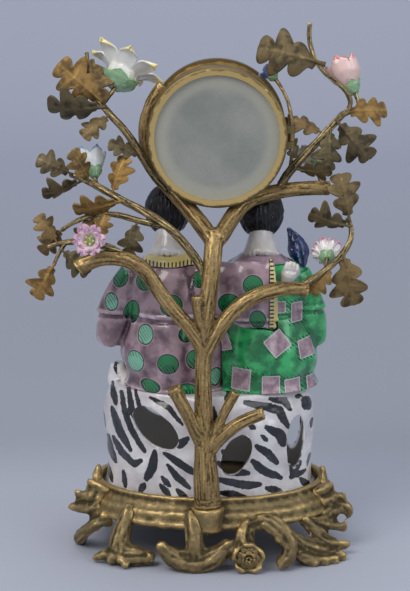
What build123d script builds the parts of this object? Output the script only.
from build123d import *
from math import atan2, cos, degrees, pi, radians, sin, sqrt
import os

# Figural mantel clock: a gilt base carries a pierced porcelain rock with two seated figures,
# and a gilt tree behind them holds the round clock case among leaves and porcelain flowers.
# Seen from behind, X runs to the right, +Y points towards the dial and Z stands up from the table.

# Clearances shared by every seat, cut and running fit.
OVERRUN = 6.0
SEAT_GAP = 0.3
RUNNING_GAP = 0.05

# Oval base with its collar round the rock.
COLLAR_HALF_WIDTH = 67.0
COLLAR_HALF_DEPTH = 52.0
COLLAR_TOP = 39.5
COLLAR_WALL = 1.8
BASE_UNDERSIDE = 22.0
EDGE_PROJECTION = 10.0
FLOOR_TOP = 34.5
FLOOR_THICKNESS = 4.0
APRON_WALL = 5.0
MOULDING_SHARES = (
    (0, 0.7), (0.04, 0.9), (0.12, 1), (0.2, 0.98), (0.26, 0.86), (0.3, 0.8), (0.46, 0.78), (0.56, 0.68),
    (0.6, 0.54), (0.64, 0.42), (0.7, 0.4), (0.75, 0.3), (0.82, 0.16), (0.88, 0.12), (0.92, 0.2), (1, 0.18),
)

# Seat of the tree on the base, and the stud and nut that hold it.
TRUNK_X = -1.5
TRUNK_SETBACK = 57.0
PAD_RADIUS = 9.5
PAD_TOP = 36.0
NUT_SOCKET_RADIUS = 6.2
NUT_SOCKET_TOP = 27.0
STUD_RADIUS = 2.5
STUD_LENGTH = 17.0
NUT_ACROSS_FLATS = 9.0
NUT_HEIGHT = 4.0
HEX_SIDES = 6

# Shell feet at the middle of the back and front, and scroll feet at the corners.
FOOT_FLAT = 1.2
SHELL_FOOT_X = -9.0
SHELL_FOOT_OFFSET = 9.0
SHELL_FOOT_SPAN = 40.0
SHELL_FOOT_RISE = 13.0
SHELL_FOOT_RADIUS = 6.2
SHELL_FOOT_SHARES = ((-0.5, 0.9), (-0.27, 0.2), (0, 0), (0.27, 0.24), (0.5, 1))
SHELL_RADIUS_SHARES = (0.35, 0.8, 1, 0.85, 0.4)
SHELL_STEM_SHARES = (0.95, 0.7, 0.75)
CORNER_ANGLE = 50.0
CORNER_FOOT_RADIUS = 5.6
CORNER_REACH = 24.0
CORNER_FOOT_SHARES = ((0.15, 0.95), (0.42, 0.74), (0.6, 0.42), (0.74, 0.17), (0.86, 0.12))
CORNER_RADIUS_SHARES = (0.85, 0.75, 0.85, 1, 0.7)
TOE_TURN = 15.0
TOE_SHARES = ((0.66, 0.17), (0.6, 0.18), (0.46, 0.15))
TOE_RADIUS_SHARES = (0.8, 1, 0.45)
CLAW_TURN = 4.0
CLAW_RADIUS = 2.7
CLAW_SHARES = ((0.64, 0.2), (0.86, 0.17), (1, 0.07))
CLAW_RADIUS_SHARES = (0.9, 1, 0.4)

# Leafy clusters of the base: each lobe is a route with radius shares, as shares of the collar's
# half width, half depth and top.
LOBE_RADIUS = 3.1
LOBE_DEPTH_SHARE = 0.8
LEFT_END_LOBES = (
    (((-0.88, -0.5, 0.86), (-0.99, -0.48, 0.97), (-1.07, -0.42, 1.04)), (0.8, 0.85, 0.5)),
    (((-0.9, -0.55, 0.74), (-1.075, -0.48, 0.81), (-1.19, -0.4, 0.83)), (0.8, 0.9, 0.5)),
    (((-0.91, -0.58, 0.62), (-1.1, -0.5, 0.64), (-1.24, -0.4, 0.62)), (0.8, 0.9, 0.45)),
    (((-0.87, -0.67, 0.56), (-1.02, -0.63, 0.43), (-1.12, -0.48, 0.24), (-1.16, -0.26, 0.08)),
        (0.9, 1, 1.1, 1.4)),
    (((-0.985, -0.27, 0.84), (-1.005, -0.21, 1.02), (-0.99, -0.12, 1.17)), (0.8, 0.75, 0.35)),
)
RIGHT_END_LOBES = (
    (((0.88, -0.5, 0.82), (0.99, -0.48, 0.92), (1.08, -0.4, 0.97)), (0.8, 0.85, 0.5)),
    (((0.9, -0.55, 0.71), (1.075, -0.46, 0.77), (1.19, -0.38, 0.79)), (0.8, 0.9, 0.5)),
    (((0.91, -0.58, 0.6), (1.1, -0.49, 0.6), (1.23, -0.41, 0.6), (1.2, -0.42, 0.51)),
        (0.8, 0.85, 0.85, 0.7)),
    (((0.85, -0.72, 0.53), (1.075, -0.56, 0.4), (1.2, -0.47, 0.31)), (0.8, 0.9, 0.45)),
    (((0.8, -0.82, 0.62), (0.97, -0.76, 0.33), (1.1, -0.66, 0.17)), (0.8, 0.9, 0.5)),
    (((0.985, -0.27, 0.84), (1.005, -0.21, 1), (0.99, -0.12, 1.13)), (0.85, 0.8, 0.4)),
)
LEAF_FOOT_LOBES = (
    (((0.52, -0.98, 0.72), (0.72, -1.04, 0.4), (0.9, -0.9, 0.22), (1.07, -0.77, 0.17),
        (1.22, -0.67, 0.14)), (1.1, 1.1, 1.1, 1, 0.5)),
    (((0.56, -1.01, 0.66), (0.74, -1.05, 0.34), (0.93, -0.96, 0.16), (1.18, -0.9, 0.05)),
        (1, 1.1, 1.1, 0.55)),
    (((0.66, -1.06, 0.4), (0.9, -1.01, 0.13), (1.11, -1.01, 0.04)), (1, 1.1, 0.6)),
    (((0.64, -1.07, 0.4), (0.84, -1.05, 0.14), (1.02, -1.08, 0.04)), (1, 1.1, 0.6)),
    (((0.62, -1.08, 0.42), (0.78, -1.09, 0.16), (0.92, -1.13, 0.04)), (1, 1, 0.6)),
)

# Rose and C scroll on the back of the base.
ROSE_X = 22.0
ROSE_OFFSET = 8.0
ROSE_HEIGHT = 9.4
ROSE_RADIUS = 9.0
ROSE_DEPTH = 7.5
ROSE_STEM_RADIUS = 3.2
C_SCROLL_WIDTH = 24.0
C_SCROLL_RADIUS = 3.6
C_SCROLL_SHARES = ((0.2, 0.5, 0.7), (0.75, 0.95, 0.62), (1, 1.3, 0.34), (0.72, 1.35, 0.1))
C_SCROLL_RADIUS_SHARES = (0.8, 1, 1, 0.9)
C_LEAF_LOBES = (
    (((0.44, -1.17, 0.68), (0.6, -1.23, 0.52), (0.73, -1.2, 0.26)), (0.7, 1, 0.5)),
    (((0.58, -1.24, 0.5), (0.68, -1.25, 0.3), (0.7, -1.25, 0.15)), (0.9, 0.9, 0.5)),
)
ROSE_LEAF_LOBES = ((((0.32, -1.12, 0.7), (0.27, -1.26, 0.54), (0.265, -1.31, 0.34)), (0.7, 1.1, 0.5)),)

# Porcelain rock, hollow from below and pierced through.
ROCK_HALF_WIDTH = 63.5
ROCK_HALF_DEPTH = 48.0
ROCK_TOP = 97.0
ROCK_WALL = 6.0
ROCK_SHARES = ((0, 1, 1), (0.3, 0.965, 0.95), (0.62, 1, 0.96), (0.88, 0.97, 0.93), (1, 0.91, 0.86))
PIERCING_SHARES = (
    (-0.5, 0.68, 0.24, 0.13, -40),
    (0.24, 0.44, 0.19, 0.11, 60),
    (0.79, 0.5, 0.25, 0.07, 86),
)
SPUR_RADIUS = 9.0
SPUR_SHARES = ((-0.8, 0.1, 0.88), (-0.86, 0.08, 1.06), (-0.87, 0.05, 1.16))
SPUR_RADIUS_SHARES = (1, 0.85, 0.4)
ROCK_BOLT_RADIUS = 2.5

# Robes of the two figures.
ROBE_HEIGHT = 78.0
ROBE_HALF_WIDTH = 34.0
ROBE_HALF_DEPTH = 33.0
ROBE_BACKSET = -4.0
LEFT_ROBE_X = -18.0
LEFT_ROBE_LEAN = -7.0
RIGHT_ROBE_X = 31.0
RIGHT_ROBE_LEAN = -1.0
LEFT_SLEEVE_REACH = -1.0
RIGHT_SLEEVE_REACH = 0.72
ROBE_SHARES = (
    (0, 1, 1), (0.18, 0.98, 0.98), (0.38, 0.88, 0.92), (0.56, 0.78, 0.82),
    (0.72, 0.82, 0.78), (0.87, 0.74, 0.68), (0.96, 0.46, 0.46), (1, 0.35, 0.36),
)
SLEEVE_RADIUS = 11.5
SLEEVE_DROP_SHARES = ((0.78, -0.12, 0.85), (1.08, -0.06, 0.58), (1.14, 0.14, 0.33))
SLEEVE_DROP_RADIUS_SHARES = (0.8, 1, 0.95)
FOREARM_SHARES = ((1.1, 0.18, 0.38), (0.86, 0.78, 0.46), (0.5, 1.06, 0.54))
FOREARM_RADIUS_SHARES = (0.86, 0.74, 0.6)
DRAPE_HALF_HEIGHT = 20.0
DRAPE_THICKNESS_SHARE = 0.4
DRAPE_SHARES = ((0.3, -0.55, 0.8), (0.82, -0.76, 0.77), (1.3, -0.82, 0.745), (1.62, -0.77, 0.745))
DRAPE_RADIUS_SHARES = (0.72, 0.86, 1, 1.02)

# Heads with their necks, the cap of hair, hands and the lotus bud.
HEAD_RADIUS = 12.2
HEAD_HALF_HEIGHT = 14.2
HEAD_FORWARD = 5.0
NECK_RADIUS = 7.0
LEFT_HEAD_RISE = 24.0
RIGHT_HEAD_RISE = 22.4
HAIR_THICKNESS = 1.0
NAPE_DROP_SHARE = 0.88
HAIRLINE_RISE_SHARE = 0.55
HAIRLINE_FORWARD_SHARE = 0.2
HAND_RADIUS = 5.6
HAND_LENGTH_SHARE = 1.35
HAND_RADIUS_SHARES = (0.7, 1, 0.45)
SHOULDER_HAND_SHARE = (0.44, -0.64, 0.9)
LOTUS_RADIUS = 7.0
LOTUS_SHARES = ((0.62, 0.3, 0.84), (0.72, 0.37, 0.95), (0.68, 0.4, 1.06), (0.46, 0.42, 1.175))
LOTUS_RADIUS_SHARES = (0.6, 0.8, 1, 0.3)

# Round clock case and its two glazed doors.
DRUM_X = 4.0
DRUM_HEIGHT = 245.7
CASE_RADIUS = 38.0
CASE_WALL = 2.5
CASE_REAR = -24.0
CASE_FRONT = 18.0
REAR_BEZEL_RADIUS = 40.3
REAR_BEZEL_DEPTH = 6.0
FRONT_BEZEL_RADIUS = 40.6
FRONT_BEZEL_DEPTH = 9.0
BEZEL_SIGHT_RADIUS = 36.0
BEZEL_LIP = 2.2
BEZEL_ROUND = 1.6
GLASS_REBATE = 1.2
GLASS_THICKNESS = 1.5
LEDGE_WIDTH = 4.5
LEDGE_THICKNESS = 3.0
HINGE_KNUCKLE_RADIUS = 1.8
HINGE_PIN_RADIUS = 0.8
HINGE_KNUCKLE_LENGTH = 4.0
HINGE_OFFSET = 2.2
HINGE_TAB_THICKNESS = 2.0
CASE_SCREW_RADIUS = 1.5
CASE_SCREW_LENGTH = 5.0
CASE_SCREW_HEAD_RADIUS = 2.6
CASE_SCREW_HEAD_HEIGHT = 1.2
CASE_SCREW_ANGLES = (205.0, 293.8)
CASE_SCREW_DEPTHS = (-10.0, -17.1)

# Tree, as shares of its reach to each side, its setback and the height of the clock.
TREE_REACH = 100.0
TREE_STEPS_SHARE = 3
DEPTH_ROUTE_SHARE = 0.8
TRUNK_RADIUS = 8.2
TRUNK_SHARES = ((-0.015, -1, 0.1465), (-0.033, -0.97, 0.31), (-0.036, -0.9, 0.517), (0.005, -0.83, 0.7),
    (0.025, -0.68, 0.785))
TRUNK_RADIUS_SHARES = (1, 0.68, 0.56, 0.58, 0.66)
ARM_RADIUS = 4.5
LEFT_ARM_SHARES = (
    (-0.036, -0.9, 0.51), (-0.12, -0.89, 0.57), (-0.26, -0.85, 0.636), (-0.42, -0.8, 0.716),
    (-0.56, -0.74, 0.728), (-0.76, -0.7, 0.702),
)
LEFT_ARM_RADIUS_SHARES = (0.98, 0.93, 0.93, 0.98, 0.98, 1.07)
RIGHT_ARM_SHARES = ((-0.03, -0.9, 0.51), (0.07, -0.89, 0.578), (0.18, -0.85, 0.623), (0.35, -0.79, 0.652),
    (0.56, -0.74, 0.651))
RIGHT_ARM_RADIUS_SHARES = (1, 0.98, 0.98, 0.93, 0.85)
LEFT_FORK_SHARES = ((0.012, -0.72, 0.77), (-0.07, -0.5, 0.806), (-0.165, -0.31, 0.845))
LEFT_FORK_RADIUS_SHARES = (1.1, 1.07, 1, 0.92, 0.88, 0.86, 0.86)
LEFT_FORK_ANGLES = (210, 180, 152, 138)
FORK_BITE = 0.4
FORK_EMBRACE_SHARE = 0.88
FORK_DEPTH = -10.0
RIGHT_FORK_SHARES = (
    (0.038, -0.72, 0.77), (0.11, -0.5, 0.803), (0.21, -0.3, 0.843), (0.34, -0.23, 0.861),
    (0.5, -0.25, 0.872), (0.69, -0.26, 0.874),
)
RIGHT_FORK_RADIUS_SHARES = (1.1, 1.07, 1.02, 0.98, 0.93, 0.95)
STUB_RADIUS = 4.0
STUB_SHARES = (
    (((-0.04, -0.98, 0.29), (-0.13, -1.03, 0.37), (-0.21, -1.07, 0.437)), (1.05, 0.95, 1)),
    (((-0.02, -0.98, 0.29), (0.07, -1.02, 0.365), (0.146, -1.04, 0.424)), (0.85, 0.7, 0.72)),
    (((-0.03, -0.98, 0.26), (0.13, -1.05, 0.34), (0.305, -1.07, 0.375)), (1, 0.95, 0.9)),
    (((-0.03, -0.9, 0.55), (-0.06, -0.9, 0.6), (-0.075, -0.9, 0.645)), (0.95, 0.9, 0.85)),
    (((0.64, -0.26, 0.874), (0.642, -0.06, 0.888), (0.63, 0.05, 0.907)), (0.45, 0.34, 0.3)),
)

# Thin flowering branches. Each has limbs of route shares with radius shares, the first carrying the rest.
BRANCH_RADIUS = 2.5
LEFT_UPPER_LIMBS = (
    (((-0.2, -0.24, 0.858), (-0.345, -0.35, 0.92), (-0.47, -0.32, 1.001), (-0.58, -0.25, 1.05),
        (-0.645, -0.2, 1.08)),
     (1.05, 0.98, 0.92, 0.85, 0.7)),
    (((-0.625, -0.22, 1.07), (-0.58, -0.2, 1.09), (-0.545, -0.15, 1.112)), (0.5, 0.48, 0.48)),
)
LEFT_MIDDLE_LIMBS = (
    (((-0.005, -0.83, 0.675), (-0.09, -0.81, 0.733), (-0.2, -0.74, 0.785), (-0.35, -0.63, 0.826),
      (-0.52, -0.53, 0.859), (-0.68, -0.43, 0.891), (-0.81, -0.36, 0.91)),
          (1.05, 1, 0.96, 0.92, 0.88, 0.8, 0.55)),
    (((-0.26, -0.7, 0.803), (-0.4, -0.6, 0.809), (-0.6, -0.5, 0.822), (-0.75, -0.45, 0.806),
        (-0.86, -0.4, 0.778)),
     (0.75, 0.72, 0.66, 0.6, 0.45)),
    (((-0.64, -0.46, 0.882), (-0.655, -0.4, 0.892), (-0.665, -0.34, 0.905)), (0.5, 0.48, 0.48)),
)
LEFT_LOWER_LIMBS = (
    (((-0.46, -0.78, 0.724), (-0.57, -0.73, 0.75), (-0.72, -0.66, 0.762), (-0.84, -0.59, 0.757),
        (-0.93, -0.54, 0.745)),
     (0.96, 0.88, 0.8, 0.65, 0.5)),
    (((-0.83, -0.6, 0.757), (-0.87, -0.57, 0.73), (-0.9, -0.55, 0.702)), (0.55, 0.5, 0.45)),
    (((-0.67, -0.68, 0.76), (-0.672, -0.76, 0.766), (-0.675, -0.82, 0.77)), (0.5, 0.48, 0.48)),
)
RIGHT_UPPER_LIMBS = (
    (((0.4, -0.24, 0.868), (0.455, -0.27, 0.912), (0.55, -0.22, 0.953), (0.66, -0.15, 0.998),
        (0.775, -0.1, 1.048)),
     (1.05, 1, 0.96, 0.9, 0.75)),
    (((0.765, -0.11, 1.043), (0.81, -0.13, 1.072), (0.77, -0.17, 1.106), (0.665, -0.15, 1.142),
      (0.59, -0.08, 1.19), (0.575, -0.04, 1.258)), (0.6, 0.58, 0.56, 0.54, 0.54, 0.5)),
    (((0.76, -0.1, 1.04), (0.82, -0.04, 1.05), (0.86, 0, 1.064), (0.855, 0.03, 1.078), (0.84, 0.06, 1.092)),
     (0.55, 0.52, 0.5, 0.48, 0.48)),
    (((0.46, -0.26, 0.913), (0.478, -0.14, 0.975), (0.452, 0.02, 1.07), (0.38, 0.14, 1.122)),
        (0.5, 0.48, 0.46, 0.44)),
)
RIGHT_LOWER_LIMBS = (
    (((0.5, -0.76, 0.653), (0.62, -0.68, 0.684), (0.74, -0.57, 0.72), (0.81, -0.48, 0.765),
        (0.79, -0.41, 0.81)),
     (0.88, 0.8, 0.72, 0.64, 0.5)),
    (((0.66, -0.64, 0.696), (0.67, -0.55, 0.706), (0.675, -0.46, 0.714)), (0.5, 0.48, 0.48)),
)

# Lobed bronze leaves: where each sits along its limb, which way it points and faces, and its size.
LEAF_LENGTH = 24.0
LEAF_HALF_WIDTH = 10.0
LEAF_THICKNESS = 1.1
LEAF_BEND_RADIUS = 34.0
LEAF_STALK_RADIUS = 1.0
LEAF_STALK_SHARE = 0.16
LEAF_OUTLINE_SHARES = (
    (0, 0.07), (0.12, 0.1), (0.24, 0.42), (0.36, 0.74), (0.46, 0.78), (0.5, 0.5),
    (0.58, 0.52), (0.7, 0.72), (0.8, 0.62), (0.82, 0.36), (0.9, 0.36), (1, 0),
)
LEFT_UPPER_LEAVES = (
    (0, 0.98, (-0.72, 0.1, 0.7), (0.1, -1, 0.1), 1.12),
    (0, 0.9, (-0.38, 0.3, 0.88), (-0.5, -0.8, 0.2), 1.08),
    (0, 0.93, (-0.98, -0.1, 0.02), (0.05, -0.8, -0.55), 1.1),
    (0, 0.84, (-0.78, -0.4, -0.5), (-0.3, -0.8, 0.5), 0.66),
    (0, 0.42, (-0.85, -0.25, 0.45), (0.1, -0.7, 0.6), 0.7),
)
LEFT_MIDDLE_LEAVES = (
    (0, 0.98, (-0.86, 0, 0.45), (0.2, -0.9, 0.3), 0.72),
    (0, 0.88, (-0.4, -0.35, 0.85), (0.5, -0.85, 0.1), 0.7),
    (0, 0.93, (-0.9, -0.2, -0.38), (0, -0.7, -0.7), 0.78),
    (0, 0.73, (0.3, 0.1, 0.95), (-0.5, -0.85, 0.1), 0.75),
    (0, 0.67, (-0.95, -0.1, -0.22), (0.1, -0.75, -0.6), 0.95),
    (1, 0.96, (-0.72, -0.1, -0.7), (0.3, -0.9, 0.3), 0.6),
    (1, 0.62, (-0.5, 0.15, -0.85), (-0.3, -0.9, 0.1), 0.72),
    (1, 0.24, (-0.35, -0.1, -0.93), (-0.3, -0.95, 0.1), 0.7),
)
LEFT_LOWER_LEAVES = (
    (0, 0.9, (-0.5, 0.1, 0.85), (0.3, -0.85, 0.4), 0.6),
    (1, 0.92, (-0.5, -0.2, -0.85), (0.1, -0.9, 0.2), 0.72),
    (1, 0.3, (0.75, -0.15, -0.65), (0, -1, 0.1), 0.66),
    (0, 0.42, (0.3, 0.12, 0.94), (-0.3, -0.9, 0.1), 0.52),
)
RIGHT_UPPER_LEAVES = (
    (1, 0.6, (-0.93, 0.15, 0.3), (0.15, -0.95, 0.3), 1.25),
    (0, 1, (0.95, 0.15, 0.05), (-0.1, -0.9, 0.42), 0.84),
    (0, 0.9, (0.62, -0.25, -0.74), (-0.1, -0.95, -0.2), 1),
    (0, 0.82, (-0.12, -0.35, -0.93), (0.25, -0.95, 0.1), 0.85),
    (0, 0.7, (-0.85, 0.3, 0.42), (0, -0.6, 0.8), 0.7),
    (0, 0.33, (-0.35, -0.15, 0.93), (0.4, -0.9, 0), 0.5),
    (0, 0.28, (0.9, -0.42, -0.1), (0, -0.8, -0.6), 0.75),
)
RIGHT_LOWER_LEAVES = (
    (0, 0.97, (-0.15, 0.1, 0.98), (0.2, -0.95, 0.1), 0.9),
    (0, 0.92, (-0.93, -0.1, 0.25), (0.1, -0.85, -0.5), 0.8),
    (0, 0.6, (0.2, -0.1, -0.97), (0.2, -0.95, 0.1), 1.05),
    (0, 0.5, (-0.62, -0.3, -0.72), (0, -0.9, 0.4), 0.8),
)

# Porcelain flowers: mouth radius, height, petals, the limb that carries each and how it faces.
PETAL_THICKNESS = 1.3
CALYX_SHARE = 0.42
LILY_RADIUS, LILY_HEIGHT, LILY_PETALS = 19.0, 24.0, 6
BELL_RADIUS, BELL_HEIGHT, BELL_PETALS = 9.5, 19.0, 5
PINK_RADIUS, PINK_HEIGHT, PINK_PETALS = 9.0, 11.0, 5
BUD_RADIUS, BUD_HEIGHT, BUD_PETALS = 11.5, 23.0, 5
WHITE_RADIUS, WHITE_HEIGHT, WHITE_PETALS = 11.5, 14.0, 5
DAISY_RADIUS, DAISY_HEIGHT, DAISY_PETALS = 9.0, 11.0, 6
BLUE_RADIUS, BLUE_HEIGHT, BLUE_PETALS = 6.0, 9.0, 5

# Going train: module and teeth of each meeting pair, and the distances that follow from them.
ADDENDUM_SHARE = 0.8
DEDENDUM_SHARE = 1.15
TOOTH_TIP_SHARE = 0.12
TOOTH_ROOT_SHARE = 0.2
BARREL_MODULE, BARREL_TEETH, SECOND_LEAVES = 0.3, 84, 12
SECOND_MODULE, SECOND_TEETH, CENTRE_LEAVES = 0.25, 72, 10
CENTRE_MODULE, CENTRE_TEETH, THIRD_LEAVES = 0.22, 80, 10
THIRD_MODULE, THIRD_TEETH, ESCAPE_LEAVES = 0.2, 75, 10
CANNON_MODULE, CANNON_LEAVES, MINUTE_TEETH = 0.375, 12, 36
HOUR_MODULE, MINUTE_LEAVES, HOUR_TEETH = 0.36, 10, 40
ESCAPE_TEETH = 15
ESCAPE_RADIUS = 4.5
BARREL_DISTANCE = 17.0
BARREL_ANGLE = 270.0
THIRD_ANGLE = 60.0
ESCAPE_ANGLE = 100.0
MINUTE_WHEEL_ANGLE = 330.0

# Plates, pillars and depths of the movement along the clock's axis.
PLATE_RADIUS = 33.0
PLATE_THICKNESS = 2.0
FRONT_PLATE_BACK = 8.0
PLATE_GAP = 20.0
PILLAR_RADIUS = 2.2
PILLAR_CIRCLE_RADIUS = 28.5
PILLAR_COUNT = 4
ARBOR_RADIUS = 0.7
PIVOT_RADIUS = 0.4
WHEEL_THICKNESS = 1.0
PINION_LENGTH = 2.2
BARREL_DRUM_LENGTH = 8.5
BARREL_ROOM_RADIUS = 10.8
SPRING_TURNS = 6
SPRING_STRIP = 0.5
SPIRAL_STEPS = 36
BARREL_REAR = -4.0
SECOND_WHEEL_REAR = -7.6
CENTRE_WHEEL_REAR = -10.8
THIRD_WHEEL_REAR = -3.6
ESCAPE_WHEEL_REAR = -9.0
WINDING_ARBOR_RADIUS = 1.6
WINDING_SQUARE = 2.2
RATCHET_RADIUS = 4.4
RATCHET_TEETH = 18
RATCHET_TOOTH_SHARE = 0.84
MOTION_GAP = 0.8
CANNON_PIPE_RADIUS = 1.3
HOUR_PIPE_WALL = 0.8
HAND_SPACING = 1.6

# Lever, balance and cock on the rear plate.
PALLET_DROP = 9.0
PALLET_ANGLE = 190.0
PALLET_ARM_WIDTH = 1.4
PALLET_CLEARANCE = 0.35
BALANCE_U, BALANCE_V = -9.0, 15.5
BALANCE_RADIUS = 7.5
BALANCE_RIM = 1.1
BALANCE_DEPTH = 1.4
BALANCE_STANDOFF = 3.0
BALANCE_SPRING_RADIUS = 4.2
BALANCE_SPRING_TURNS = 5
BALANCE_SPRING_STRIP = 0.25
BALANCE_SPRING_HEIGHT = 0.6
COCK_THICKNESS = 1.6
COCK_WIDTH = 5.0
COCK_FOOT_RADIUS = 3.0
COCK_FOOT_REACH = 11.5

# Enamel dial and the two hands.
DIAL_RADIUS = 34.5
DIAL_THICKNESS = 1.2
DIAL_CROWN = 1.0
DIAL_REAR = 15.6
DIAL_FOOT_RADIUS = 1.0
DIAL_FOOT_CIRCLE_RADIUS = 24.0
DIAL_FOOT_COUNT = 3
DIAL_CENTRE_HOLE = 3.6
WINDING_HOLE = 3.4
HAND_THICKNESS = 0.6
HOUR_HAND_LENGTH = 19.0
MINUTE_HAND_LENGTH = 29.0
HAND_WIDTH = 2.6
HAND_BOSS_RADIUS = 3.2
HOUR_HAND_ANGLE = 130.0
MINUTE_HAND_ANGLE = 60.0

TREE_FRAME = (TREE_REACH, TRUNK_SETBACK, DRUM_HEIGHT)
HINGE_X = DRUM_X + REAR_BEZEL_RADIUS + HINGE_OFFSET
EDGE_HALF_DEPTH = COLLAR_HALF_DEPTH + EDGE_PROJECTION


# Helpers shared by all pieces.
def scaled(shares, frame):
    """Points given as shares of a frame's three sizes, in millimetres."""
    return [tuple(share * size for share, size in zip(point, frame)) for point in shares]


def along_list(values, share):
    """The value a share of the way along a list of evenly spaced values."""
    place = share * (len(values) - 1)
    first = min(int(place), len(values) - 2)
    rest = place - first
    return values[first] * (1 - rest) + values[first + 1] * rest


def limb(route, radius, radius_shares, depth_share=1):
    """A tapering limb: sections lofted square to a smooth line through the points of its route."""
    line = Spline(*route)
    steps = TREE_STEPS_SHARE * (len(route) - 1)
    depth_axis = Vector(0, 1, 0)
    if max(abs(depth_axis.dot(line % (step / steps))) for step in range(steps + 1)) > DEPTH_ROUTE_SHARE:
        depth_axis = Vector(1, 0, 0)
    sections = []
    for step in range(steps + 1):
        share = step / steps
        along = line % share
        across = depth_axis - along * depth_axis.dot(along)
        frame = Plane(origin=line @ share, x_dir=across, z_dir=along)
        section_radius = radius * along_list(radius_shares, share)
        if depth_share == 1:
            sections.append(frame * Circle(section_radius))
        else:
            sections.append(frame * Ellipse(section_radius * depth_share, section_radius))
    return loft(sections)


def fused(shapes):
    """One solid from shapes that run into each other."""
    return shapes[0].fuse(*shapes[1:]) if len(shapes) > 1 else shapes[0]


def solid_of(shape):
    """The largest solid of a cut, without the crumbs a cut may leave."""
    return max(shape.solids(), key=lambda solid: solid.volume)


def carved(shape, *tools):
    """The shape with each tool cut out of it in turn."""
    for tool in tools:
        shape = shape.cut(tool)
    return shape


def above_table(shape):
    """The shape cut flat where it stands on the table."""
    wide = 4 * TREE_REACH
    table = Pos(0, 0, -wide / 2) * Box(wide, wide, wide)
    return shape.cut(table)


def rod(radius, y_low, y_high, u=0, v=0):
    """A cylinder along the clock's axis, between two depths, at an offset from its centre."""
    middle = (y_low + y_high) / 2
    return Pos(DRUM_X + u, middle, DRUM_HEIGHT + v) * Rot(90, 0, 0) * Cylinder(radius, y_high - y_low)


def clock_plane(y, u=0, v=0):
    """A plane square to the clock's axis, seen from behind, whose normal points back."""
    return Plane(origin=(DRUM_X + u, y, DRUM_HEIGHT + v), x_dir=(1, 0, 0), z_dir=(0, -1, 0))


def polar(radius, angle):
    """Offset from the clock's centre at an angle, seen from behind."""
    return radius * cos(radians(angle)), radius * sin(radians(angle))


# Base, its feet and ornaments.
def oval(offset, height):
    return Pos(0, 0, height) * Ellipse(COLLAR_HALF_WIDTH + offset, COLLAR_HALF_DEPTH + offset)


def edge_point(angle, offset, height):
    """A point out from the collar at an angle round the oval."""
    turn = radians(angle)
    return ((COLLAR_HALF_WIDTH + offset) * cos(turn), (COLLAR_HALF_DEPTH + offset) * sin(turn), height)


def make_nut_socket():
    """The round space under the base that holds the nut of the trunk."""
    depth = 2 * (NUT_SOCKET_TOP - BASE_UNDERSIDE)
    return Pos(TRUNK_X, -TRUNK_SETBACK, NUT_SOCKET_TOP - depth / 2) * Cylinder(NUT_SOCKET_RADIUS, depth)


def make_base_platform():
    rise = COLLAR_TOP - BASE_UNDERSIDE
    profile = [oval(out * EDGE_PROJECTION, BASE_UNDERSIDE + up * rise) for up, out in MOULDING_SHARES]
    outer = loft(profile, ruled=True)
    pad_height = PAD_TOP - BASE_UNDERSIDE
    pad = Pos(TRUNK_X, -TRUNK_SETBACK, BASE_UNDERSIDE + pad_height / 2) * Cylinder(PAD_RADIUS, pad_height)
    pocket = extrude(oval(-COLLAR_WALL, FLOOR_TOP), rise)
    floor_bottom = FLOOR_TOP - FLOOR_THICKNESS
    hollow_steps = [
        oval(-APRON_WALL / 2, BASE_UNDERSIDE - OVERRUN),
        oval(-APRON_WALL, BASE_UNDERSIDE + (floor_bottom - BASE_UNDERSIDE) / 2),
        oval(-2 * APRON_WALL, floor_bottom),
    ]
    hollow = loft(hollow_steps, ruled=True)
    stud_hole = Pos(TRUNK_X, -TRUNK_SETBACK, BASE_UNDERSIDE) * Cylinder(STUD_RADIUS + SEAT_GAP,
        4 * pad_height)
    bolt_hole = Pos(0, 0, FLOOR_TOP) * Cylinder(ROCK_BOLT_RADIUS + SEAT_GAP, 4 * FLOOR_THICKNESS)
    return carved(outer.fuse(pad), pocket, hollow, stud_hole, make_nut_socket(), bolt_hole)


def make_shell_foot(x, side):
    """A stem that spreads into an upturned crescent on the table, at the back (-1) or front (1)."""
    y = side * (EDGE_HALF_DEPTH + SHELL_FOOT_OFFSET / 2)
    low = SHELL_FOOT_RADIUS - FOOT_FLAT
    crescent = limb(
        [(x + across * SHELL_FOOT_SPAN, y, low + up * SHELL_FOOT_RISE) for across, up in SHELL_FOOT_SHARES],
        SHELL_FOOT_RADIUS, SHELL_RADIUS_SHARES,
    )
    top = BASE_UNDERSIDE + (COLLAR_TOP - BASE_UNDERSIDE) / 2
    stem = limb(
        [(x, side * (EDGE_HALF_DEPTH - EDGE_PROJECTION / 2), top), (x, y, top / 2), (x, y, low)],
        SHELL_FOOT_RADIUS, SHELL_STEM_SHARES,
    )
    return above_table(crescent.fuse(stem))


def make_corner_foot(angle, toe_turn):
    """A leg that drops from the edge to a clawed paw and lays one toe along the edge."""
    def route(shares, turn_step):
        return [
            edge_point(angle + k * turn_step, out * CORNER_REACH, up * BASE_UNDERSIDE * sqrt(2))
            for k, (out, up) in enumerate(shares)
        ]
    pieces = [
        limb(route(CORNER_FOOT_SHARES, 0), CORNER_FOOT_RADIUS, CORNER_RADIUS_SHARES),
        limb(route(TOE_SHARES, toe_turn / 2), CORNER_FOOT_RADIUS, TOE_RADIUS_SHARES),
    ]
    pieces += [limb(route(CLAW_SHARES, turn * CLAW_TURN), CLAW_RADIUS,
        CLAW_RADIUS_SHARES) for turn in (-1, 0, 1)]
    return above_table(fused(pieces))


def make_lobes(lobes):
    """Leaf lobes on the base, each on its own route."""
    frame = (COLLAR_HALF_WIDTH, COLLAR_HALF_DEPTH, COLLAR_TOP)
    return [
        above_table(limb(scaled(route, frame), LOBE_RADIUS, shares, LOBE_DEPTH_SHARE)) for route,
            shares in lobes
    ]


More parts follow.
